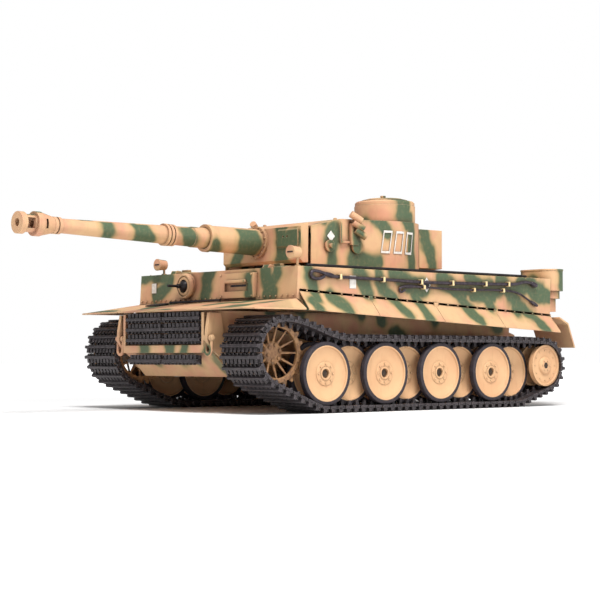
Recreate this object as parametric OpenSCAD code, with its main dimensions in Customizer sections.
// Radio controlled scale tank, one sixteenth of full size. Millimetres, front towards -Y, left side +X, +Z up.
// Origin: middle of the bounding box, on the ground.

/* [Running gear] */
// radius of a road wheel over its tyre
wheel_r = 25; // [18:0.5:30]
// distance between neighbouring road wheel axles
wheel_pitch = 32.2; // [27:0.1:39]
// width of the track over its links
track_w = 45; // [37:0.5:54]
// wanted distance from track pin to track pin
link_pitch = 8.1; // [6.7:0.1:9.8]
// radius of the idler over its rims
idler_r = 18.4; // [15:0.1:22]
// teeth on a drive sprocket
sprocket_teeth = 20; // [16:1:24]
// radius of the axle shafts
axle_r = 2.5; // [2:0.1:3]

/* [Hull] */
// half the width of the lower hull between the tracks
tub_half_w = 58; // [48:0.5:70]
// height of the hull roof above the ground
deck_z = 114.4; // [105:0.1:137]
// height of the upper hull's floor over the tracks
sponson_z = 80; // [79:0.1:82]
// height of the belly above the ground
belly_z = 28; // [23:0.5:34]
// thickness of the hull mouldings
wall = 2.5; // [2:0.1:3.2]

/* [Turret] */
// radius of the turret's round wall
turret_r = 64.4; // [54:0.1:77]
// height of the turret wall
turret_h = 43.6; // [36:0.1:52]
// gap between the turret wall and the hull roof
turret_gap = 3.4; // [2.6:0.1:4.5]
// radius of the commander's cupola
cupola_r = 26.8; // [22:0.1:32]
// height of the cupola drum over the turret roof
cupola_h = 20.4; // [17:0.1:24]

/* [Gun] */
// distance from the trunnion to the muzzle
gun_len = 252; // [210:1:300]
// how far the gun points above level at rest, degrees
gun_rise = 0.9; // [0:0.1:2]
// travel of the recoiling barrel
recoil = 6; // [4:0.5:7]

/* [Hidden] */
$fn = 48;
mm_gap = max(0.35, 0.045 + link_pitch * link_pitch / (8 * (wheel_r + 2)));
// length positions
axle1_y = -50.6;
axle8_y = axle1_y + 7 * wheel_pitch;
sprocket_y = axle1_y - 44;
sprocket_z = 46.9;
idler_y = axle8_y + 39.5;
idler_z = 36.1;
front_plate_y = axle1_y - 21.9;
nose_y = front_plate_y - 54;
rear_y = idler_y + 17.2;
ring_y = (nose_y + rear_y) / 2 + 23.5;
// heights
plate_in = 1.9;
plate_out = 1.7;
cleat = 1.9;
wheel_z = wheel_r + mm_gap + plate_in + plate_out + cleat;
glacis_z0 = sponson_z + 1.2;
glacis_z1 = sponson_z + 10;
turret_z = deck_z + turret_gap;
roof_z = turret_z + turret_h;
trunnion_y = ring_y - 84;
trunnion_z = turret_z + 22.2;
// width positions
track_in = tub_half_w + 12.2;
track_out = track_in + track_w;
hull_half = track_out - 11.5;
guard_out = track_out + 0.4;
row_a = track_out - 4.6;
row_b = row_a - 9.3;
row_c = row_b - 5.9;
row_d = row_c - 9.5;
tyre_w = 5.2;
sprocket_r = link_pitch / 2 / sin(180 / sprocket_teeth);
// commander's cupola place, from the ring centre
cupola_x = 31.3;
cupola_y = ring_y + 17.2;

// ---------- helpers ----------

// a box given by its two opposite corners
module box(a, b) {
    translate([min(a[0], b[0]), min(a[1], b[1]), min(a[2], b[2])])
        cube([abs(b[0] - a[0]), abs(b[1] - a[1]), abs(b[2] - a[2])]);
}

// a side profile drawn in Y and Z, carried from x0 to x1
module slab(pts, x0, x1) {
    translate([x0, 0, 0])
        rotate([90, 0, 90])
            linear_extrude(height = x1 - x0)
                polygon(pts);
}

// a cylinder along X from x0 to x1
module rod_x(x0, x1, y, z, r) {
    translate([x0, y, z])
        rotate([0, 90, 0])
            cylinder(h = x1 - x0, r = r);
}

// a cylinder along Y from y0 to y1
module rod_y(y0, y1, x, z, r, r2 = -1) {
    translate([x, y0, z])
        rotate([-90, 0, 0])
            cylinder(h = y1 - y0, r1 = r, r2 = r2 < 0 ? r : r2);
}

// a thing and its mirror image on the other side
module both_sides() {
    children();
    mirror([1, 0, 0])
        children();
}

// ---------- track ----------

// pin line of the track: arcs round the sprocket, end wheels and idler, joined by straight runs
pin_in = mm_gap + plate_in;
function arc(cy, cz, r, a0, a1, n) = [for (i = [0:n]) [cy + r * cos(a0 + (a1 - a0) * i / n),
    cz + r * sin(a0 + (a1 - a0) * i / n)]];
// outer tangent direction between two circles met in turn
function lean(y0, z0, r0, y1, z1, r1) = atan2(z1 - z0, y1 - y0) - asin((r1 - r0) / norm([y1 - y0, z1 - z0]));
top_pin_z = wheel_z + wheel_r + pin_in;
// pin radius at the idler, where a straight link just clears the rims
idler_pin_r = norm([idler_r + pin_in - 0.1, link_pitch / 2]);
lean_1 = lean(sprocket_y, sprocket_z, sprocket_r, axle1_y, wheel_z, wheel_r + pin_in);
lean_2 = lean(axle8_y, wheel_z, wheel_r + pin_in, idler_y, idler_z, idler_pin_r);
lean_3 = lean(idler_y, idler_z, idler_pin_r, axle8_y, wheel_z, wheel_r + pin_in);
rise = sprocket_z + sprocket_r - top_pin_z;
bend_y0 = axle1_y + 26;
bend_y1 = sprocket_y;
path_pts = concat(
    arc(sprocket_y, sprocket_z, sprocket_r, 90, 270 + lean_1, 40),
    arc(axle1_y, wheel_z, wheel_r + pin_in, 270 + lean_1, 270, 8),
    arc(axle8_y, wheel_z, wheel_r + pin_in, 270, 270 + lean_2, 8),
    arc(idler_y, idler_z, idler_pin_r, 270 + lean_2, 630 + lean_3, 40),
    arc(axle8_y, wheel_z, wheel_r + pin_in, 630 + lean_3, 450, 2),
    [for (i = [0:24]) let (t = i / 24) [bend_y0 + (bend_y1 - bend_y0) * t,
        top_pin_z + rise * (3 * t * t - 2 * t * t * t)]]);
path_n = len(path_pts);
function run(i) = norm(path_pts[(i + 1) % path_n] - path_pts[i % path_n]);
path_sum = [for (i = 0, s = 0; i < path_n; s = s + run(i), i = i + 1) s];
path_len = path_sum[path_n - 1] + run(path_n - 1);
link_n = round(path_len / link_pitch);
step_len = path_len / link_n;
// point at a distance along the pin line
function leg(s, i = 0) = (i >= path_n - 1 || path_sum[i + 1] > s) ? i : leg(s, i + 1);
function along(s0) = let (s = s0 - path_len * floor(s0 / path_len), i = leg(s), k = run(i) < 0.001 ? 0 :
    (s - path_sum[i]) / run(i)) path_pts[i] + (path_pts[(i + 1) % path_n] - path_pts[i]) * k;

// one link about its own middle, y along the run, z outwards
module link() {
    half = step_len / 2 - 0.2;
    difference() {
        union() {
            slab([[-half + 0.5, -plate_in], [half - 0.5, -plate_in], [half, plate_out], [-half, plate_out]],
                track_in, track_out);
            box([track_in, -1.5, plate_out - 0.2], [track_out, 1.1, plate_out + cleat]);
            // guide horns
            for (x = [(row_a + row_b) / 2 + 0.45, (row_c + row_d) / 2])
                slab([[-1.9, -plate_in + 0.2], [1.9, -plate_in + 0.2], [0.7, -plate_in - 4], [-0.7, -plate_in - 4]],
                    x - 0.9, x + 0.9);
        }
        // the sprocket's teeth run in these grooves
        for (x = [row_a - 6.9, track_in + 4.4])
            box([x - 1.6, -half - 1, -plate_in - 1], [x + 1.6, half + 1, plate_out]);
    }
}

module track() {
    for (i = [0:link_n - 1]) {
        p = along(i * step_len);
        q = along((i + 1) * step_len);
        m = (p + q) / 2;
        a = atan2(q[1] - p[1], q[0] - p[0]);
        translate([0, m[0], m[1]])
            rotate([a, 0, 0])
                mirror([0, 0, 1])
                    link();
    }
}

module track_left() {
    color([0.16, 0.15, 0.17])
        track();
}

module track_right() {
    color([0.16, 0.15, 0.17])
        mirror([1, 0, 0])
            track();
}

// ---------- wheels ----------

// a profile of place along X and radius, turned about the X direction through y, z
module turned(pts, y, z) {
    translate([0, y, z])
        rotate([0, 90, 0])
            rotate_extrude()
                polygon([for (p = pts) [p[1], p[0]]]);
}

// disc of a road wheel as one turned profile; dish is +1 when hollow to the outside
module wheel_disc(x, y, dish) {
    rim = wheel_r - 3.02;
    face = dish > 0 ? x + 0.4 : x + 2.3;
    turned([[x - tyre_w / 2 + 0.2, rim], [x - tyre_w / 2 + 0.2, rim - 2], [x - 1.3 * dish - 0.8, rim - 3.6],
        [x - 1.7 * dish - 0.8, 9.2], [x - 2.3, 7.6], [x - 2.3, axle_r + 0.05], [face, axle_r + 0.05],
        [face, 7.6], [x - 1.7 * dish + 0.8, 9.2], [x - 1.3 * dish + 0.8, rim - 3.6],
        [x + tyre_w / 2 - 0.2, rim - 2], [x + tyre_w / 2 - 0.2, rim]], y, wheel_z);
}

module wheel_tyre(x, y) {
    turned([[x - tyre_w / 2, wheel_r - 3], [x - tyre_w / 2, wheel_r - 0.6], [x - tyre_w / 2 + 0.6, wheel_r],
        [x + tyre_w / 2 - 0.6, wheel_r], [x + tyre_w / 2, wheel_r - 0.6], [x + tyre_w / 2, wheel_r - 3]], y, wheel_z);
}

// hub tube between the two discs of an axle
module hub_tube(x0, x1, y) {
    difference() {
        rod_x(x0, x1, y, wheel_z, 5.4);
        rod_x(x0 - 1, x1 + 1, y, wheel_z, axle_r + 0.05);
    }
}

// eight bolts round the hub of the outer disc
module hub_bolts(x, y) {
    for (a = [0:45:315])
        rod_x(x - 0.6, x + 0.7, y + 5.4 * cos(a), wheel_z + 5.4 * sin(a), 0.55, $fn = 16);
}

// number k from the front: odd axles carry the outer row, even axles the inner rows
module road_wheel(k) {
    y = axle1_y + (k - 1) * wheel_pitch;
    outer = k % 2 == 1 ? row_a : row_b;
    inner = k % 2 == 1 ? row_c : row_d;
    color([0.80, 0.62, 0.42]) {
        wheel_disc(outer, y, 1);
        wheel_disc(inner, y, -1);
        hub_tube(inner + 2.32, outer - 2.32, y);
        hub_bolts(outer + 0.4, y);
    }
    color([0.17, 0.15, 0.18]) {
        wheel_tyre(outer, y);
        wheel_tyre(inner, y);
    }
}

module wheel_l(k) {
    road_wheel(k);
}

module wheel_r_(k) {
    mirror([1, 0, 0])
        road_wheel(k);
}

// drive sprocket: two toothed rings, spoked plates, hub and drive shaft
module sprocket() {
    color([0.66, 0.50, 0.33])
        translate([0, sprocket_y, sprocket_z])
            rotate([90, 0, 90]) {
                for (x = [row_a - 7.7, track_in + 3.6])
                    translate([0, 0, x]) {
                        difference() {
                            linear_extrude(height = 1.6)
                                polygon(tooth_pts);
                            translate([0, 0, -1])
                                cylinder(h = 4, r = sprocket_r - 6.4);
                        }
                        // spokes from hub to ring, the outer ones dished inwards
                        for (a = [0:30:330])
                            rotate([90, 0, a])
                                translate([0, 0, -0.55])
                                    linear_extrude(height = 1.1)
                                        polygon([[5, x > row_d ? -5.4 : 0.2], [sprocket_r - 5.6, 0.2],
                                            [sprocket_r - 5.6, 1.4], [5, x > row_d ? -3.8 : 1.4]]);
                    }
                // hub drum and cap
                translate([0, 0, track_in + 2.4])
                    cylinder(h = row_a - 12.4 - track_in - 2.4, r = 8.2);
                translate([0, 0, row_a - 12.5])
                    cylinder(h = 2.4, r1 = 7.6, r2 = 6.6);
                for (a = [0:60:300])
                    rotate([0, 0, a + 15])
                        translate([4.6, 0, row_a - 10.3])
                            cylinder(h = 0.9, r = 1.1, $fn = 16);
                // shaft into the gearbox
                translate([0, 0, tub_half_w - 14])
                    cylinder(h = track_in + 3 - tub_half_w + 14, r = 3);
            }
}

tooth_pts = [for (i = [0:sprocket_teeth - 1]) for (p = [[-0.36, -2.4], [-0.2, -0.2], [-0.1, 1.35], [0.1, 1.35],
    [0.2, -0.2], [0.36, -2.4]]) let (a = (i + p[0]) * 360 / sprocket_teeth, r = sprocket_r + p[1])
    [r * cos(a), r * sin(a)]];

module sprocket_left() {
    sprocket();
}

module sprocket_right() {
    mirror([1, 0, 0])
        sprocket();
}

// idler: three rims on a shared hub
module idler() {
    color([0.80, 0.62, 0.42])
        difference() {
            union() {
                for (x = [row_a, row_c + 0.2, track_in + 6.4])
                    turned([[x - 2.3, idler_r], [x - 2.3, idler_r - 2.4], [x - 0.7, idler_r - 3], [x - 0.7, 5.62],
                        [x + 0.7, 5.62], [x + 0.7, idler_r - 3], [x + 2.3, idler_r - 2.4], [x + 2.3, idler_r]],
                        idler_y, idler_z);
                rod_x(track_in + 2.6, row_a + 3, idler_y, idler_z, 5.6);
                for (a = [0:60:300])
                    rod_x(row_a + 2.6, row_a + 3.8, idler_y + 3.9 * cos(a), idler_z + 3.9 * sin(a), 0.7, $fn = 16);
            }
            rod_x(track_in, row_a + 5, idler_y, idler_z, axle_r + 0.05);
        }
}

module idler_left() {
    idler();
}

module idler_right() {
    mirror([1, 0, 0])
        idler();
}

// swing arms with their axles, and the idler's bracket
module arms() {
    color([0.45, 0.40, 0.33]) {
        for (k = [1:8]) {
            y = axle1_y + (k - 1) * wheel_pitch;
            tail = k % 2 == 1 ? row_a - 0.4 : row_b - 0.4;
            rod_x(tub_half_w + 1, tail, y, wheel_z, axle_r);
            // arm leaning back from the pivot to the axle
            rod_x(tub_half_w + 1.2, tub_half_w + 4.6, y, wheel_z, 4.6);
            slab([[y - 1.6, wheel_z + 3], [y + 1.6, wheel_z - 3.4], [y + 16.4, wheel_z + 5], [y + 13.6, wheel_z + 11]],
                tub_half_w + 1.4, tub_half_w + 4.4);
            rod_x(tub_half_w + 1.4, tub_half_w + 4.4, y + 15, wheel_z + 8, 3.3);
            rod_x(tub_half_w - 5, tub_half_w + 3, y + 15, wheel_z + 8, 2.6);
        }
    }
}

module idler_bracket() {
    color([0.45, 0.40, 0.33]) {
        rod_x(tub_half_w - 5, row_a + 2.2, idler_y, idler_z, axle_r);
        rod_x(tub_half_w + 0.2, tub_half_w + 5, idler_y, idler_z, 6.5);
    }
}

module arms_left() {
    arms();
    idler_bracket();
}

module arms_right() {
    mirror([1, 0, 0]) {
        arms();
        idler_bracket();
    }
}

// ---------- hull ----------

// shackle pin place
shackle_y = nose_y + 1.6;
shackle_z = sponson_z - 21.4;
// side view of the lower hull, nose at the front
tub_side = [[nose_y + 26, belly_z], [rear_y - 22, belly_z], [rear_y - 6, belly_z + 16],
    [rear_y - 2, sponson_z - 0.2], [nose_y + 4.5, sponson_z - 0.2], [nose_y + 4.5, sponson_z - 31]];
tub_inside = [[nose_y + 27, belly_z + wall], [rear_y - 22.8, belly_z + wall], [rear_y - 8.6, belly_z + 17],
    [rear_y - 4.6, sponson_z + 1], [nose_y + 7, sponson_z + 1], [nose_y + 7, sponson_z - 30]];

module hull_tub() {
    color([0.74, 0.56, 0.37])
        difference() {
            union() {
                slab(tub_side, -tub_half_w, tub_half_w);
                both_sides() {
                    // tow horns: the side plates reach forward and carry the shackle eyes
                    slab([[nose_y + 12, sponson_z - 2], [nose_y + 1, sponson_z - 2], [nose_y - 1.4, sponson_z - 16],
                        [nose_y - 1.4, sponson_z - 23], [nose_y + 2, sponson_z - 29], [nose_y + 14, sponson_z - 38],
                        [nose_y + 18, sponson_z - 30]], tub_half_w - 0.5, tub_half_w + 2.6);
                    // rear tow eyes
                    slab([[rear_y - 10, belly_z + 22], [rear_y + 5, belly_z + 26], [rear_y + 5, belly_z + 36],
                        [rear_y - 8, belly_z + 40]], tub_half_w - 4.5, tub_half_w - 0.5);
                    // final drive housing
                    rod_x(tub_half_w - 1, track_in + 1.2, sprocket_y, sprocket_z, 13);
                    // belly screw bosses
                    for (y = [sprocket_y + 20.8, rear_y - 40])
                        translate([tub_half_w - 9, y, belly_z + 1])
                            cylinder(h = 8, r = 3.4);
                }
            }
            slab(tub_inside, -tub_half_w + wall, tub_half_w - wall);
            both_sides() {
                // shackle pin holes and rear tow holes
                rod_x(tub_half_w - 3, tub_half_w + 5, shackle_y, shackle_z, 1.5);
                rod_x(tub_half_w - 8, tub_half_w + 3, rear_y + 1.4, belly_z + 31, 2);
                // shaft, arm pivot and idler holes
                rod_x(tub_half_w - 12, track_in + 5, sprocket_y, sprocket_z, 3.05);
                for (k = [1:8])
                    rod_x(tub_half_w - 8, tub_half_w + 4, axle1_y + (k - 1) * wheel_pitch + 15, wheel_z + 8, 2.65);
                rod_x(tub_half_w - 8, tub_half_w + 4, idler_y, idler_z, axle_r + 0.05);
                for (y = [sprocket_y + 20.8, rear_y - 40])
                    translate([tub_half_w - 9, y, belly_z - 1])
                        cylinder(h = 12, r = 1.3);
            }
        }
}

// hatch places in the hull roof
crew_hatch_x = 61;
crew_hatch_y = front_plate_y + 23;
crew_hatch_r = 15;
engine_y0 = ring_y + 66;
hatch_y0 = ring_y + 92;
engine_y1 = rear_y - 8;

module hull_top() {
    color([0.78, 0.60, 0.40])
        difference() {
            union() {
                // box of the superstructure, its front plate leaning back a little
                slab([[front_plate_y - 1.5, glacis_z1 - 0.6], [front_plate_y, deck_z], [rear_y + 1, deck_z],
                    [rear_y, sponson_z], [front_plate_y + 8, sponson_z], [front_plate_y + 4, glacis_z1 - 2.6]],
                    -hull_half, hull_half);
                // turret ring collar
                translate([0, ring_y, deck_z - 1])
                    cylinder(h = 2.2, r = turret_r - 12);
            }
            slab([[front_plate_y + 3.4, deck_z - wall], [rear_y - wall, deck_z - wall],
                [rear_y - wall, sponson_z + wall], [front_plate_y + 8, sponson_z + wall]],
                -hull_half + wall, hull_half - wall);
            // open bottom over the tub
            box([-tub_half_w + wall, front_plate_y + 12, sponson_z - 2],
                [tub_half_w - wall, rear_y - 6, sponson_z + wall + 1]);
            // turret ring opening
            translate([0, ring_y, deck_z - 6])
                cylinder(h = 12, r = turret_r - 14.4);
            both_sides() {
                translate([crew_hatch_x, crew_hatch_y, deck_z - 6])
                    cylinder(h = 12, r = crew_hatch_r);
                // seats of the cooling grilles
                box([38, engine_y0, deck_z - 6], [hull_half - 8, engine_y0 + 30, deck_z + 2]);
                box([38, engine_y0 + 36, deck_z - 6], [hull_half - 8, engine_y1, deck_z + 2]);
            }
            // engine hatch opening
            box([-30, hatch_y0, deck_z - 6], [30, engine_y1 - 1, deck_z + 2]);
        }
}

// glacis plate and front mudguards as one pressing
module front_fender() {
    color([0.79, 0.61, 0.41]) {
        slab([[nose_y - 1.4, glacis_z0], [front_plate_y - 1.9, glacis_z1 - 0.9], [front_plate_y - 1.9, glacis_z1 - 3],
            [nose_y - 0.2, glacis_z0 - 1.2]], -tub_half_w - 3, tub_half_w + 3);
        // outer mudguards slope down to their tips
        both_sides()
            fender_wing();
    }
}

// mudguard over the sprocket: level inside, folded down towards its outer rear corner
module fender_wing() {
    yf = nose_y - 1.4;
    yr = front_plate_y - 1.9;
    zr = glacis_z1 - 0.9;
    slab([[yf, glacis_z0], [yr, zr], [yr, zr - 1.2], [yf + 0.5, glacis_z0 - 1.2]], tub_half_w + 3.2, hull_half);
    a = [hull_half, yf, glacis_z0];
    b = [guard_out, yf + 2, glacis_z0 - 0.3];
    c = [guard_out, yr, glacis_z0];
    d = [hull_half, yr, zr];
    t = [0, 0, 1.2];
    polyhedron(points = [a, b, c, d, a - t, b - t, c - t, d - t],
        faces = [[0, 2, 1], [0, 3, 2], [4, 5, 6], [4, 6, 7], [0, 1, 5], [0, 5, 4], [1, 2, 6], [1, 6, 5],
        [2, 3, 7], [2, 7, 6], [3, 0, 4], [3, 4, 7]]);
}

// long bolted side guards and the rear mudguards
module side_guards() {
    color([0.77, 0.59, 0.39])
        both_sides() {
            side_run();
            rear_flap();
        }
}

guard_y0 = front_plate_y + 1;
guard_n = 4;
guard_len = (rear_y + 1 - guard_y0) / guard_n;
function guard_top(y) = sponson_z + 14.6 - 14.4 * (y - guard_y0) / (rear_y - guard_y0);
function guard_low(y) = guard_top(y) - 13.6;

// four overlapping pressed panels, each a thin sloping sheet
module side_run() {
    for (i = [0:guard_n - 1]) {
        y0 = guard_y0 + i * guard_len + 0.2;
        y1 = guard_y0 + (i + 1) * guard_len - 0.2;
        sheet_panel([hull_half + 0.3, y0, guard_top(y0)], [hull_half + 0.3, y1, guard_top(y1)],
            [guard_out, y1, guard_low(y1)], [guard_out, y0, guard_low(y0)], 1.1);
    }
}

// a four cornered sheet with thickness t measured straight down
module sheet_panel(a, b, c, d, t) {
    dz = [0, 0, t];
    polyhedron(points = [a, b, c, d, a - dz, b - dz, c - dz, d - dz],
        faces = [[0, 1, 2, 3], [7, 6, 5, 4], [4, 5, 1, 0], [5, 6, 2, 1], [6, 7, 3, 2], [7, 4, 0, 3]]);
}

module rear_flap() {
    slab([[rear_y + 1.4, sponson_z - 0.4], [rear_y + 14, sponson_z - 6], [rear_y + 23.4, sponson_z - 27.6],
        [rear_y + 22.2, sponson_z - 28], [rear_y + 13, sponson_z - 7], [rear_y + 1.4, sponson_z - 1.6]],
        track_in + 2, guard_out - 2);
}

// driver's visor housing and the bow gun's boss, bolted on the front plate
visor_x = 34;
visor_z = deck_z - 13.2;
bow_x = -35.5;
bow_z = deck_z - 11.4;
module front_castings() {
    color([0.78, 0.60, 0.40]) {
        difference() {
            union() {
                box([visor_x - 21, front_plate_y - 5.2, visor_z - 10], [visor_x + 21, front_plate_y - 0.4, visor_z - 4.6]);
                box([visor_x - 21, front_plate_y - 5.2, visor_z + 2.2], [visor_x + 21, front_plate_y - 0.4, visor_z + 10]);
                box([visor_x - 21, front_plate_y - 5.2, visor_z - 10], [visor_x - 15, front_plate_y - 0.4, visor_z + 10]);
                box([visor_x + 15, front_plate_y - 5.2, visor_z - 10], [visor_x + 21, front_plate_y - 0.4, visor_z + 10]);
                box([visor_x - 20, front_plate_y - 3, visor_z - 9], [visor_x + 20, front_plate_y - 0.4, visor_z + 9]);
            }
            // driver's slit
            box([visor_x - 10, front_plate_y - 6, visor_z - 1], [visor_x + 10, front_plate_y - 2, visor_z + 0.8]);
            // back face follows the leaning plate
            front_lean_cut();
        }
        difference() {
            turned_y([[0, 10.6], [3.2, 9.8], [5.2, 7.4], [5.2, 5.6], [0, 5.6]], bow_x, bow_z, front_plate_y - 0.6);
            front_lean_cut();
        }
    }
}

// everything behind the leaning front plate, with a hair of clearance
module front_lean_cut() {
    slab([[front_plate_y - 2.9, sponson_z - 10], [front_plate_y + 0.45, deck_z + 10], [front_plate_y + 20, deck_z + 10],
        [front_plate_y + 20, sponson_z - 10]], -hull_half, hull_half);
}

// a profile of reach and radius turned about the Y direction, reach forwards
module turned_y(pts, x, z, y) {
    translate([x, y, z])
        rotate([90, 0, 0])
            rotate_extrude()
                polygon([for (p = pts) [p[1], p[0]]]);
}

// ball of the bow gun with its barrel, on a pivot inside the boss
module bow_gun() {
    color([0.20, 0.19, 0.20]) {
        turned_y([[-0.9, 0], [-0.9, 5.1], [0, 5.2], [1.4, 5], [2.8, 4.4], [4, 3.3], [4.8, 2], [5.2, 0]], bow_x, bow_z,
            front_plate_y - 4);
        rod_y(front_plate_y - 22, front_plate_y - 7, bow_x, bow_z, 1.15);
        rod_y(front_plate_y - 12, front_plate_y - 7, bow_x, bow_z, 1.9);
    }
}

module headlight(x, z) {
    rod_y(front_plate_y - 4.6, front_plate_y + 3.4, x, z, 4.9, 4.2);
    rod_y(front_plate_y + 3.2, front_plate_y + 4.6, x, z, 4.2, 2.6);
    rod_y(front_plate_y - 5.2, front_plate_y - 4.4, x, z, 5.1);
    translate([x, front_plate_y + 2.4, deck_z])
        cylinder(h = z - deck_z - 3, r = 1);
    translate([x, front_plate_y + 2.4, deck_z])
        cylinder(h = 0.8, r = 2.2);
}

module headlights() {
    color([0.82, 0.68, 0.46]) {
        headlight(-hull_half + 30, deck_z + 8.4);
        headlight(hull_half - 3.6, deck_z + 10.8);
    }
}

// spare links carried across the nose: an upper bank and a lower row
module spare_links() {
    color([0.18, 0.17, 0.19]) {
        for (i = [0:2])
            spare_row(nose_y + 2.5, sponson_z - 26 + i * (step_len + 0.4), 50.5);
        spare_row(nose_y + 2.5, sponson_z - 42.6, 47.5);
    }
}

// one row: a bank of link blocks standing on edge
module spare_row(y, z, half) {
    n = 13;
    w = 2 * half / n;
    box([-half, y, z + 0.6], [half, y + 1.9, z + step_len - 0.4]);
    for (i = [0:n - 1])
        box([-half + i * w + 0.5, y - 1.9, z + 1.6], [-half + (i + 1) * w - 0.5, y + 0.5, z + step_len - 1.2]);
}

// painted bar below the upper bank, with its two end brackets
module link_bar() {
    color([0.78, 0.60, 0.40]) {
        box([-54, nose_y + 0.4, sponson_z - 33], [54, nose_y + 4.4, sponson_z - 27]);
        both_sides()
            box([51, nose_y + 0.4, sponson_z - 28], [54, nose_y + 4.4, sponson_z - 1.6]);
    }
}

// U shackle hanging from its pin in the tow horn
module shackle() {
    px = tub_half_w + 1;
    color([0.76, 0.60, 0.40]) {
        rod_x(px - 4.6, px + 5, shackle_y, shackle_z, 1.42);
        for (x = [px - 4.4, px + 2.4]) {
            rod_x(x, x + 2, shackle_y, shackle_z, 2.4);
            slab([[shackle_y - 1.4, shackle_z], [shackle_y + 1.4, shackle_z], [shackle_y + 0.9, shackle_z - 12.6],
                [shackle_y - 1.9, shackle_z - 12.6]], x, x + 2);
        }
        rod_x(px - 4.4, px + 4.4, shackle_y - 0.5, shackle_z - 12.6, 1.4);
    }
}

module shackle_left() {
    shackle();
}

module shackle_right() {
    mirror([1, 0, 0])
        shackle();
}

// ---------- cords: tow cable and thin track cable ----------

function mix3(a, b, c, d, t) = 0.5 * (2 * b + (c - a) * t + (2 * a - 5 * b + 4 * c - d) * t * t
    + (3 * b - a - 3 * c + d) * t * t * t);
// smooth line through the points, k steps a span
function smooth(p, k) = let (n = len(p)) concat([for (i = [0:n - 2]) for (j = [0:k - 1])
    mix3(p[max(i - 1, 0)], p[i], p[i + 1], p[min(i + 2, n - 1)], j / k)], [p[n - 1]]);
function unit(v) = v / max(norm(v), 0.0001);
// tube of s sides along the line; the line never runs straight up the x direction
module cord(p, r, s) {
    n = len(p);
    pts = [for (i = [0:n - 1]) let (d = unit(p[min(i + 1, n - 1)] - p[max(i - 1, 0)]),
        u = unit(cross(d, [1, 0, 0.03])), v = cross(d, u)) for (j = [0:s - 1])
        p[i] + r * cos(360 * j / s) * u + r * sin(360 * j / s) * v];
    faces = concat([[for (j = [0:s - 1]) s - 1 - j]], [[for (j = [0:s - 1]) (n - 1) * s + j]],
        [for (i = [0:n - 2]) for (j = [0:s - 1]) [i * s + j, i * s + (j + 1) % s, (i + 1) * s + (j + 1) % s,
        (i + 1) * s + j]]);
    polyhedron(points = pts, faces = faces, convexity = 6);
}

cable_x = hull_half + 1.9;
function on_side(pts) = [for (p = pts) [cable_x + p[2], axle1_y + p[0], deck_z + p[1]]];
// heavy cable: eye at the front, straight along the side, curled back at the rear
heavy = [[4, -7.4, 0], [0, -9, 0], [-5, -9.6, 0], [-9, -8.4, 0], [-10.4, -5.8, 0], [-8, -3.6, 0], [-3, -3.6, 0],
    [4, -5.2, 0], [14, -7.2, 0], [40, -7.6, 0], [80, -8, 0], [120, -8.6, 0], [160, -8, 0], [200, -7.4, 0],
    [232, -6.4, 0], [244, -4.4, 0], [254, -5, 0], [261, -7, 0]];
// thin cable: below the heavy one, turning down at the rear
thin = [[94, -15.4, 0], [90, -17.4, 0], [87.6, -16.6, 0], [88, -14.2, 0], [93, -12.8, 0], [104, -12.4, 0],
    [130, -13, 0], [165, -13.4, 0], [200, -12.6, 0], [224, -12.8, 0], [238, -15, 0], [250, -20, 0], [262, -25, 0]];

module tow_cables() {
    color([0.24, 0.21, 0.25]) {
        cord(smooth(on_side(heavy), 4), 1.25, 10);
        cord(smooth(on_side(thin), 5), 0.85, 8);
        mirror([1, 0, 0])
            cord(smooth(on_side(heavy), 4), 1.25, 10);
    }
}

// small clips that hold the cables to the hull side
module clip(y, z, h) {
    x = hull_half;
    box([x + 0.05, y - 1, z - h], [x + 0.6, y + 1, z + h]);
    box([x + 3.5, y - 1, z - h], [x + 4.1, y + 1, z + h]);
    for (s = [-1, 1])
        box([x + 0.05, y - 1, z + s * h], [x + 4.1, y + 1, z + s * (h - 0.6)]);
}

heavy_clips = [[20, 7.3], [68, 7.9], [112, 8.5], [150, 8.2], [192, 7.55], [222, 6.85]];
module cable_clamps() {
    color([0.80, 0.66, 0.46]) {
        for (c = heavy_clips)
            clip(axle1_y + c[0], deck_z - c[1], 2.1);
        for (c = [[115, 12.75], [177, 13.2], [215, 12.6]])
            clip(axle1_y + c[0], deck_z - c[1], 1.7);
        mirror([1, 0, 0])
            for (c = heavy_clips)
                clip(axle1_y + c[0], deck_z - c[1], 2.1);
    }
}

// lays a tool on the sloping glacis, front edge of the slope at the nose
glacis_lean = atan2(glacis_z1 - 0.9 - glacis_z0, 52.1);
module on_glacis(x, y, turn) {
    translate([x, y, glacis_z0 + (y - nose_y + 1.4) * tan(glacis_lean) + 0.25])
        rotate([glacis_lean, 0, 0])
            rotate([0, 0, turn])
                children();
}

// shovel on the glacis and cleaning rods along the hull's edge
module hull_tools() {
    color([0.20, 0.18, 0.18])
        on_glacis(-56, front_plate_y - 17, 8)
            linear_extrude(height = 1)
                polygon([[-9, -6], [6, -7], [11, -2], [11, 2], [6, 7], [-9, 6]]);
    color([0.55, 0.40, 0.25])
        on_glacis(-44, front_plate_y - 13, 4)
            translate([0, 0, 1.2])
                rod_x(0, 62, 0, 0, 1.1);
    color([0.22, 0.20, 0.22])
        for (i = [0:1])
            rod_y(front_plate_y + 12 + 8 * i, rear_y - 36 + 10 * i, hull_half - 3.2 - 3 * i, deck_z + 1.4, 1.1);
}

// slotted cooling grilles, four panels
module deck_grilles() {
    color([0.76, 0.58, 0.39])
        both_sides() {
            grille(38.2, engine_y0 + 0.2, hull_half - 8.2, engine_y0 + 29.8);
            grille(38.2, engine_y0 + 36.2, hull_half - 8.2, engine_y1 - 0.2);
        }
}

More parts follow.
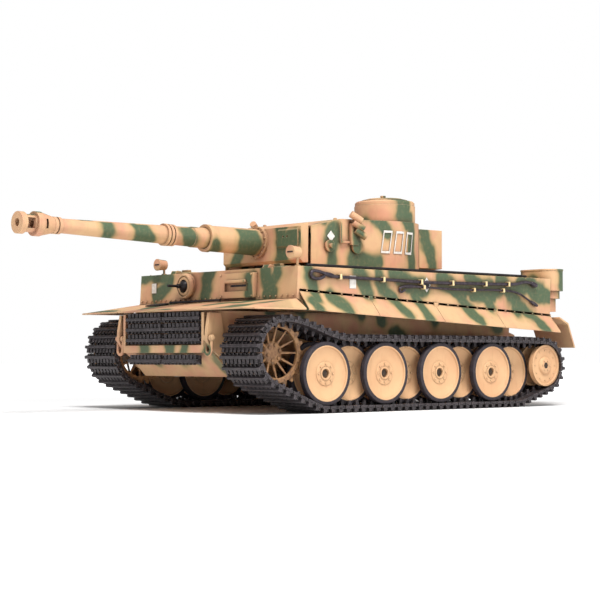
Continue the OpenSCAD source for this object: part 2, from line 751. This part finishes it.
module grille(x0, y0, x1, y1) {
    n = 7;
    p = (x1 - x0 - 3) / n;
    difference() {
        box([x0, y0, deck_z - 2.4], [x1, y1, deck_z + 0.8]);
        for (i = [0:n - 1])
            box([x0 + 2 + i * p, y0 + 2.5, deck_z - 4], [x0 + 2 + (i + 0.66) * p, y1 - 2.5, deck_z + 3]);
    }
}

// hinged engine hatch with a raised rim, opens for the battery
module engine_hatch() {
    color([0.78, 0.60, 0.40]) {
        box([-29.7, hatch_y0 + 0.3, deck_z - 1.6], [29.7, engine_y1 - 1.3, deck_z + 0.9]);
        for (x = [-16, 16])
            translate([x, (hatch_y0 + engine_y1) / 2 - 4, deck_z + 0.7])
                difference() {
                    cylinder(h = 3.2, r = 8.6);
                    translate([0, 0, 2.2])
                        cylinder(h = 3, r = 6.6);
                }
        for (x = [-20, 20]) {
            box([x - 3, engine_y1 - 4, deck_z + 0.8], [x + 3, engine_y1 - 1.4, deck_z + 2.4]);
            rod_x(x - 3, x + 3, engine_y1 - 1.3, deck_z + 1.9, 0.9);
        }
    }
}

// oval air cleaners at the rear corners, two cyclones side by side, with their hose boxes
module oval(h, r, spread) {
    for (sx = [-1, 1])
        translate([sx * spread / 2, 0, 0])
            cylinder(h = h, r = r);
    translate([-spread / 2, -r, 0])
        cube([spread, 2 * r, h]);
}

module air_cleaners() {
    color([0.77, 0.59, 0.39])
        both_sides()
            translate([hull_half - 21.5, rear_y + 14.8, sponson_z]) {
                translate([0, 0, 24])
                    oval(18.6, 12.6, 17);
                translate([0, 0, 42.5])
                    oval(1.4, 13, 17);
                translate([0, 0, 17])
                    oval(7.2, 9.6, 17);
                translate([-6, -13.6, 27])
                    cube([12, 4, 8]);
                translate([5, -4, 5])
                    cube([8, 8, 12.2]);
            }
}

// exhaust pipes with guards, and the rear plate's fittings
module exhausts() {
    color([0.42, 0.34, 0.28])
        both_sides() {
            x = 30;
            y = rear_y + 9.5;
            translate([x, y, sponson_z - 14])
                cylinder(h = 34, r = 4.6);
            translate([x, y, sponson_z + 19.8])
                cylinder(h = 2.4, r1 = 5.2, r2 = 4);
            translate([x, y, sponson_z - 20])
                difference() {
                    cylinder(h = 32, r = 8.2);
                    translate([0, 0, -1])
                        cylinder(h = 34, r = 7.2);
                    box([-12, -14, -2], [12, -1.5, 36]);
                }
            box([x - 7.9, rear_y + 1.3, sponson_z + 4], [x + 7.9, y - 3.2, sponson_z + 8]);
            for (sx = [-1, 1])
                box([x + sx * 7.3, rear_y + 1.3, sponson_z - 4], [x + sx * 8.1, y + 0.5, sponson_z + 2]);
        }
}

// round crew hatches in the hull roof, hinged at their outer edge
module crew_hatch(x, y) {
    translate([x, y, deck_z - 1.4])
        cylinder(h = 2.6, r = crew_hatch_r - 0.35);
    translate([x, y, deck_z + 1.1])
        cylinder(h = 0.9, r1 = crew_hatch_r - 2.2, r2 = crew_hatch_r - 3.2);
    translate([x, y - 6, deck_z + 1.1])
        rotate([0, 0, 0])
            box([-4, -2, 0], [4, 2, 3]);
    // hinge arm and knuckle
    box([x + crew_hatch_r - 3, y - 3, deck_z + 0.3], [x + crew_hatch_r + 3, y + 3, deck_z + 1.5]);
    rod_y(y - 3, y + 3, x + crew_hatch_r + 3, deck_z + 1.1, 0.8);
}

module driver_hatch() {
    color([0.78, 0.60, 0.40])
        crew_hatch(crew_hatch_x, crew_hatch_y);
}

module radio_hatch() {
    color([0.78, 0.60, 0.40])
        mirror([1, 0, 0])
            crew_hatch(crew_hatch_x, crew_hatch_y);
}

// ---------- turret ----------

front_y = ring_y - 92.5;
cheek_x = turret_r - 8;
// plan outline of the turret wall: half round at the rear, sides running in towards the front
function shell_plan(d) = concat([[-cheek_x + d, front_y]],
    [for (a = [0:6:180]) [-(turret_r - d) * cos(a), ring_y + (turret_r - d) * sin(a)]],
    [[cheek_x - d, front_y]]);
// side outline of the roof: falls towards the front
roof_side = [[front_y - 1, turret_z - 1], [front_y - 1, roof_z - 10], [front_y + 31, roof_z - 2.4],
    [ring_y + turret_r + 5, roof_z], [ring_y + turret_r + 5, turret_z - 1]];
roof_inside = [[front_y - 5, turret_z - 2], [front_y - 5, roof_z - 12.4], [front_y + 31, roof_z - 4.8],
    [ring_y + turret_r + 5, roof_z - 2.4], [ring_y + turret_r + 5, turret_z - 2]];
ring_teeth = 60;
pinion_teeth = 12;
gear_m = 1;

module turret_shell() {
    color([0.78, 0.60, 0.40]) {
        difference() {
            intersection() {
                translate([0, 0, turret_z])
                    linear_extrude(height = turret_h)
                        polygon(shell_plan(0));
                slab(roof_side, -turret_r - 1, turret_r + 1);
            }
            intersection() {
                translate([0, 0, turret_z - 1])
                    linear_extrude(height = turret_h)
                        polygon(shell_plan(3));
                slab(roof_inside, -turret_r - 1, turret_r + 1);
            }
            // roof stands back from the mantlet
            box([-cheek_x + 1.2, front_y - 2, turret_z - 2], [cheek_x - 1.2, front_y + 2.2, roof_z + 2]);
            // flat seat of the cupola
            translate([cupola_x, cupola_y, roof_z - 1.5])
                cylinder(h = 12, r = cupola_r + 0.3);
            // cupola and loader openings
            translate([cupola_x, cupola_y, roof_z - 8])
                cylinder(h = 12, r = cupola_r - 6);
            translate([-24, ring_y - 12, roof_z - 8])
                cylinder(h = 12, r = 14);
        }
        // trunnion bearings hang from the roof
        difference() {
            intersection() {
                both_sides()
                    box([33, trunnion_y - 6.5, trunnion_z - 6.5], [37, trunnion_y + 6.5, roof_z]);
                slab(roof_side, -turret_r - 1, turret_r + 1);
            }
            rod_x(-42, 42, trunnion_y, trunnion_z, 4.06);
        }
        // floor plate with the toothed ring hanging into the hull
        difference() {
            translate([0, ring_y, turret_z])
                cylinder(h = 2, r = turret_r - 1.5);
            translate([0, ring_y, turret_z - 1])
                cylinder(h = 4, r = ring_teeth * gear_m / 2 + 6);
        }
        translate([0, ring_y, deck_z - 5])
            difference() {
                union() {
                    cylinder(h = turret_gap + 5.2, r = turret_r - 15);
                    translate([0, 0, turret_gap + 3.6])
                        cylinder(h = 1.8, r = turret_r - 8);
                }
                translate([0, 0, -1])
                    linear_extrude(height = turret_gap + 8)
                        polygon(gear_pts(ring_teeth, 0.16));
            }
    }
}

// outline of a spur gear; grow widens it for a ring that has the same teeth cut inwards
function gear_pts(n, grow) = [for (i = [0:n - 1]) for (p = [[-0.3, -1.05], [-0.11, 0.95], [0.11, 0.95], [0.3, -1.05]])
    let (a = (i + p[0] * (1 + 1.8 * grow)) * 360 / n, r = n * gear_m / 2 + p[1] * gear_m + grow * 1.5)
    [r * cos(a), r * sin(a)]];

// commander's cupola: a tall drum with a rounded shoulder
module cupola() {
    color([0.78, 0.60, 0.40])
        translate([cupola_x, cupola_y, roof_z - 1.5])
            rotate_extrude()
                polygon([[cupola_r - 6.4, 0], [cupola_r, 0], [cupola_r, cupola_h - 4.4],
                    [cupola_r - 0.5, cupola_h - 4.2], [cupola_r - 0.5, cupola_h - 1.6],
                    [cupola_r - 1.6, cupola_h - 0.4], [cupola_r - 3, cupola_h], [cupola_r - 6.4, cupola_h]]);
}

module cupola_hatch() {
    color([0.80, 0.62, 0.42]) {
        translate([cupola_x, cupola_y, roof_z - 1.5 + cupola_h - 1.6])
            cylinder(h = 2.8, r = cupola_r - 6.8);
        translate([cupola_x, cupola_y, roof_z - 1.5 + cupola_h + 1.1])
            cylinder(h = 1.2, r1 = cupola_r - 9, r2 = cupola_r - 11);
        box([cupola_x - 16, cupola_y - 2, roof_z - 1.5 + cupola_h + 0.2],
            [cupola_x - 24, cupola_y + 2, roof_z - 1.5 + cupola_h + 1.6]);
        rod_y(cupola_y - 3, cupola_y + 3, cupola_x - 24, roof_z - 1.5 + cupola_h + 1.1, 0.9);
        translate([cupola_x + 4, cupola_y - 6, roof_z + cupola_h + 0.8])
            cylinder(h = 2.4, r = 2.4);
    }
}

module loader_hatch() {
    color([0.78, 0.60, 0.40]) {
        translate([-24, ring_y - 12, roof_z - 3.8])
            cylinder(h = 3.6, r = 13.7);
        translate([-24, ring_y - 12, roof_z - 0.3])
            cylinder(h = 0.8, r1 = 11.6, r2 = 10.6);
        box([-28, ring_y - 29, roof_z - 1.4], [-20, ring_y - 22, roof_z]);
        rod_x(-29, -19, ring_y - 29, roof_z - 0.7, 0.8);
        translate([-24, ring_y - 6, roof_z - 0.3])
            cylinder(h = 2, r = 1.6);
    }
}

// stowage bin curved round the turret's back
module turret_bin() {
    color([0.76, 0.58, 0.39])
        translate([0, ring_y, turret_z + 5])
            difference() {
                bin_block(34.5, 0);
                translate([0, 0, -1])
                    cylinder(h = 60, r = turret_r + 0.4);
                translate([0, 0, 1.6])
                    difference() {
                        bin_block(31.3, 1.5);
                        translate([0, 0, -1])
                            cylinder(h = 60, r = turret_r + 2);
                    }
            }
}

// wedge of a tall drum, drawn in by t on its outer walls
module bin_block(h, t) {
    intersection() {
        cylinder(h = h, r = turret_r + 24 - t);
        linear_extrude(height = h)
            polygon([[-turret_r * 0.68 + t, 20], [turret_r * 0.68 - t, 20], [turret_r * 0.7 - t, turret_r + 30],
                [-turret_r * 0.7 + t, turret_r + 30]]);
    }
}

// angle of the side wall at a place along it
cheek_lean = atan2(turret_r - cheek_x, ring_y - front_y);
function side_x(y) = y > ring_y ? sqrt(turret_r * turret_r - (y - ring_y) * (y - ring_y))
    : cheek_x + (turret_r - cheek_x) * (y - front_y) / (ring_y - front_y);

// smoke dischargers, vision ports and roof fittings
module turret_fittings() {
    color([0.79, 0.61, 0.41]) {
        both_sides() {
            // bracket with three tubes
            y = front_y + 43;
            x = side_x(y) + 0.5;
            box([x + 0.1, y - 4, roof_z - 24], [x + 3, y + 4, roof_z - 6]);
            for (i = [0:2])
                translate([x + 5.4, y - 1 + 2.6 * i, roof_z - 1.2 - 6.6 * i])
                    rotate([58, 0, -24])
                        discharger_tube();
            box([x + 0.1, y - 13.6, roof_z - 22.6], [x + 1.2, y - 3.8, roof_z - 21]);
            box([x + 0.1, y - 14.6, roof_z - 22.6], [x + 1.2, y - 13.4, roof_z - 5]);
            // round vision port
            rod_x(side_x(front_y + 18) + 0.6, side_x(front_y + 18) + 2.4, front_y + 18, turret_z + 18, 5);
            rod_x(side_x(front_y + 18) + 2.3, side_x(front_y + 18) + 5, front_y + 18, turret_z + 18, 2);
        }
        // pistol port plug on the left wall
        rod_x(side_x(front_y + 47) + 0.7, side_x(front_y + 47) + 2.4, front_y + 47, turret_z + 18.4, 6);
        // roof ventilator and front roof bumps
        translate([-turret_r * 0.25, ring_y + 26, roof_z + 0.1])
            cylinder(h = 3, r1 = 8, r2 = 7);
    }
}

module discharger_tube() {
    difference() {
        cylinder(h = 11, r = 3, center = true);
        translate([0, 0, -1])
            cylinder(h = 11, r = 2, center = true);
    }
}

// ---------- gun, laid out level and then raised to its rest angle ----------

module at_trunnion() {
    translate([0, trunnion_y, trunnion_z])
        rotate([-gun_rise, 0, 0])
            children();
}

module mantlet() {
    color([0.78, 0.60, 0.40])
        at_trunnion()
            difference() {
                union() {
                    // thick plate across the turret front
                    slab([[-18.6, -16.5], [-16, -18.8], [-10.5, -18.8], [-10.5, 13.4], [-15, 13.4], [-18.6, 11]],
                        -46, 55);
                    // raised sight housing on the gunner's side
                    slab([[-18, -7], [-20, -5], [-20, 8], [-18, 10]], 27, 52);
                    // bolted collar and sleeve
                    rod_y(-21, -15, 0, 0, 13.6);
                    rod_y(-76, -18, 0, 0, 10.6, 11.2);
                    rod_y(-76, -72, 0, 0, 11.4);
                    for (a = [15:30:345])
                        rod_y(-21.9, -20.8, 12.4 * cos(a), 12.4 * sin(a), 0.8);
                    // trunnion
                    rod_x(-40, 40, 0, 0, 4);
                    both_sides()
                        box([20, -12, -5], [26, 4, 5]);
                }
                // barrel bore
                rod_y(-90, 40, 0, 0, 8.75);
                // sight holes
                for (x = [34, 39])
                    rod_y(-24, -15, x, 3, 0.9);
            }
}

module gun_barrel() {
    color([0.78, 0.60, 0.40])
        at_trunnion() {
            rod_y(-gun_len + 24, -90, 0, 0, 5.4, 8);
            rod_y(-90.1, 6, 0, 0, 8.4);
            // triple ring collar and rings behind the brake
            for (i = [0:2])
                rod_y(-118 + 3.6 * i, -115.6 + 3.6 * i, 0, 0, 9 - 0.1 * i);
            for (i = [0:1])
                rod_y(-gun_len + 30 + 4 * i, -gun_len + 32.6 + 4 * i, 0, 0, 6.6);
        }
}

module muzzle_brake() {
    color([0.78, 0.60, 0.40])
        at_trunnion()
            difference() {
                union() {
                    rod_y(-gun_len, -gun_len + 4.6, 0, 0, 8.4);
                    rod_y(-gun_len + 4.5, -gun_len + 14, 0, 0, 6.8);
                    rod_y(-gun_len + 13.9, -gun_len + 19, 0, 0, 9.4);
                    rod_y(-gun_len + 18.9, -gun_len + 30, 0, 0, 9.2, 6.4);
                }
                rod_y(-gun_len - 1, -gun_len + 23.7, 0, 0, 3.2);
                rod_y(-gun_len + 23.6, -gun_len + 31, 0, 0, 5.45, 5.6);
                // side windows
                box([-12, -gun_len + 6, -4], [12, -gun_len + 12.6, 4]);
                box([-12, -gun_len + 20.4, -3.6], [12, -gun_len + 22.6, 3.6]);
            }
}

// ---------- working parts inside ----------

module battery_pack() {
    color([0.20, 0.35, 0.60]) {
        box([-24, rear_y - 108, belly_z + wall + 0.4], [24, rear_y - 38, belly_z + wall + 24]);
        box([-8, rear_y - 112, belly_z + wall + 8], [8, rear_y - 107.9, belly_z + wall + 16]);
    }
}

module control_board() {
    color([0.10, 0.36, 0.20]) {
        box([-34, ring_y - 12, belly_z + 14], [34, ring_y + 34, belly_z + 15.6]);
        for (x = [-26, 26])
            for (y = [-8, 30])
                translate([x, ring_y + y, belly_z + wall])
                    cylinder(h = 11.7, r = 2);
        box([-20, ring_y, belly_z + 15.5], [-4, ring_y + 16, belly_z + 18]);
        box([8, ring_y - 6, belly_z + 15.5], [28, ring_y + 6, belly_z + 21]);
        for (i = [0:4])
            box([-30 + 11 * i, ring_y + 26, belly_z + 15.5], [-23 + 11 * i, ring_y + 32, belly_z + 22]);
    }
}

// gearbox and motor for each sprocket
module drive_units() {
    both_sides() {
        color([0.60, 0.60, 0.62])
            difference() {
                slab([[sprocket_y - 7, sprocket_z - 4], [sprocket_y + 3, sprocket_z - 13.6], [sprocket_y + 16.8,
                    sprocket_z - 13.6], [sprocket_y + 16.8, sprocket_z + 13], [sprocket_y - 7, sprocket_z + 13]],
                    tub_half_w - 30, tub_half_w - 9);
                rod_x(tub_half_w - 15, tub_half_w, sprocket_y, sprocket_z, 3.05);
            }
        color([0.75, 0.75, 0.77]) {
            rod_y(sprocket_y + 16.8, sprocket_y + 54.8, tub_half_w - 20, sprocket_z, 12);
            rod_y(sprocket_y + 54.8, sprocket_y + 56.8, tub_half_w - 20, sprocket_z, 4);
        }
    }
}

pinion_y = ring_y - (ring_teeth - pinion_teeth) * gear_m / 2;
module turret_motor() {
    color([0.70, 0.70, 0.72]) {
        difference() {
            translate([0, pinion_y, deck_z - 44])
                cylinder(h = 36, r = 9);
            translate([0, pinion_y, deck_z - 20])
                cylinder(h = 13, r = 1.55);
        }
        // bracket down to the tub floor
        for (x = [-12, 10])
            box([x, pinion_y - 5, belly_z + wall], [x + 2, pinion_y + 5, deck_z - 12]);
        for (x = [-11, 7.4])
            box([x, pinion_y - 4, deck_z - 20], [x + 3.6, pinion_y + 4, deck_z - 14]);
    }
}

module turret_pinion() {
    color([0.85, 0.80, 0.60]) {
        translate([0, pinion_y, deck_z - 5])
            rotate([0, 0, 0])
                linear_extrude(height = 6)
                    polygon(gear_pts(pinion_teeth, 0));
        translate([0, pinion_y, deck_z - 18])
            cylinder(h = 13.1, r = 1.5);
    }
}

module elevation_servo() {
    color([0.15, 0.15, 0.17]) {
        box([-46, trunnion_y + 16, turret_z + 4], [-34, trunnion_y + 39, turret_z + 24]);
        box([-46, trunnion_y + 12, turret_z + 16], [-34, trunnion_y + 43, turret_z + 18.4]);
        rod_x(-34.1, -31, trunnion_y + 20, turret_z + 20, 2.6);
        box([-32.6, trunnion_y + 18.6, turret_z + 20], [-31, trunnion_y + 21.4, turret_z + 30]);
    }
}

// screws up through the belly, and deck screws
module screws() {
    color([0.35, 0.35, 0.36])
        both_sides() {
            for (y = [sprocket_y + 20.8, rear_y - 40]) {
                translate([tub_half_w - 9, y, belly_z - 1.2])
                    cylinder(h = 1.2, r = 2.4);
                translate([tub_half_w - 9, y, belly_z - 0.1])
                    cylinder(h = 7, r = 1.2);
            }
        }
}

hull_tub();
hull_top();
front_fender();
side_guards();
front_castings();
bow_gun();
headlights();
spare_links();
link_bar();
shackle_left();
shackle_right();
tow_cables();
cable_clamps();
hull_tools();
deck_grilles();
engine_hatch();
air_cleaners();
exhausts();
driver_hatch();
radio_hatch();
turret_shell();
cupola();
cupola_hatch();
loader_hatch();
turret_bin();
turret_fittings();
mantlet();
gun_barrel();
muzzle_brake();
battery_pack();
control_board();
drive_units();
turret_motor();
turret_pinion();
elevation_servo();
screws();
track_left();
track_right();
arms_left();
arms_right();
sprocket_left();
sprocket_right();
idler_left();
idler_right();
wheel_l(1);  // wheel_l1
wheel_l(2);  // wheel_l2
wheel_l(3);  // wheel_l3
wheel_l(4);  // wheel_l4
wheel_l(5);  // wheel_l5
wheel_l(6);  // wheel_l6
wheel_l(7);  // wheel_l7
wheel_l(8);  // wheel_l8
wheel_r_(1);  // wheel_r1
wheel_r_(2);  // wheel_r2
wheel_r_(3);  // wheel_r3
wheel_r_(4);  // wheel_r4
wheel_r_(5);  // wheel_r5
wheel_r_(6);  // wheel_r6
wheel_r_(7);  // wheel_r7
wheel_r_(8);  // wheel_r8
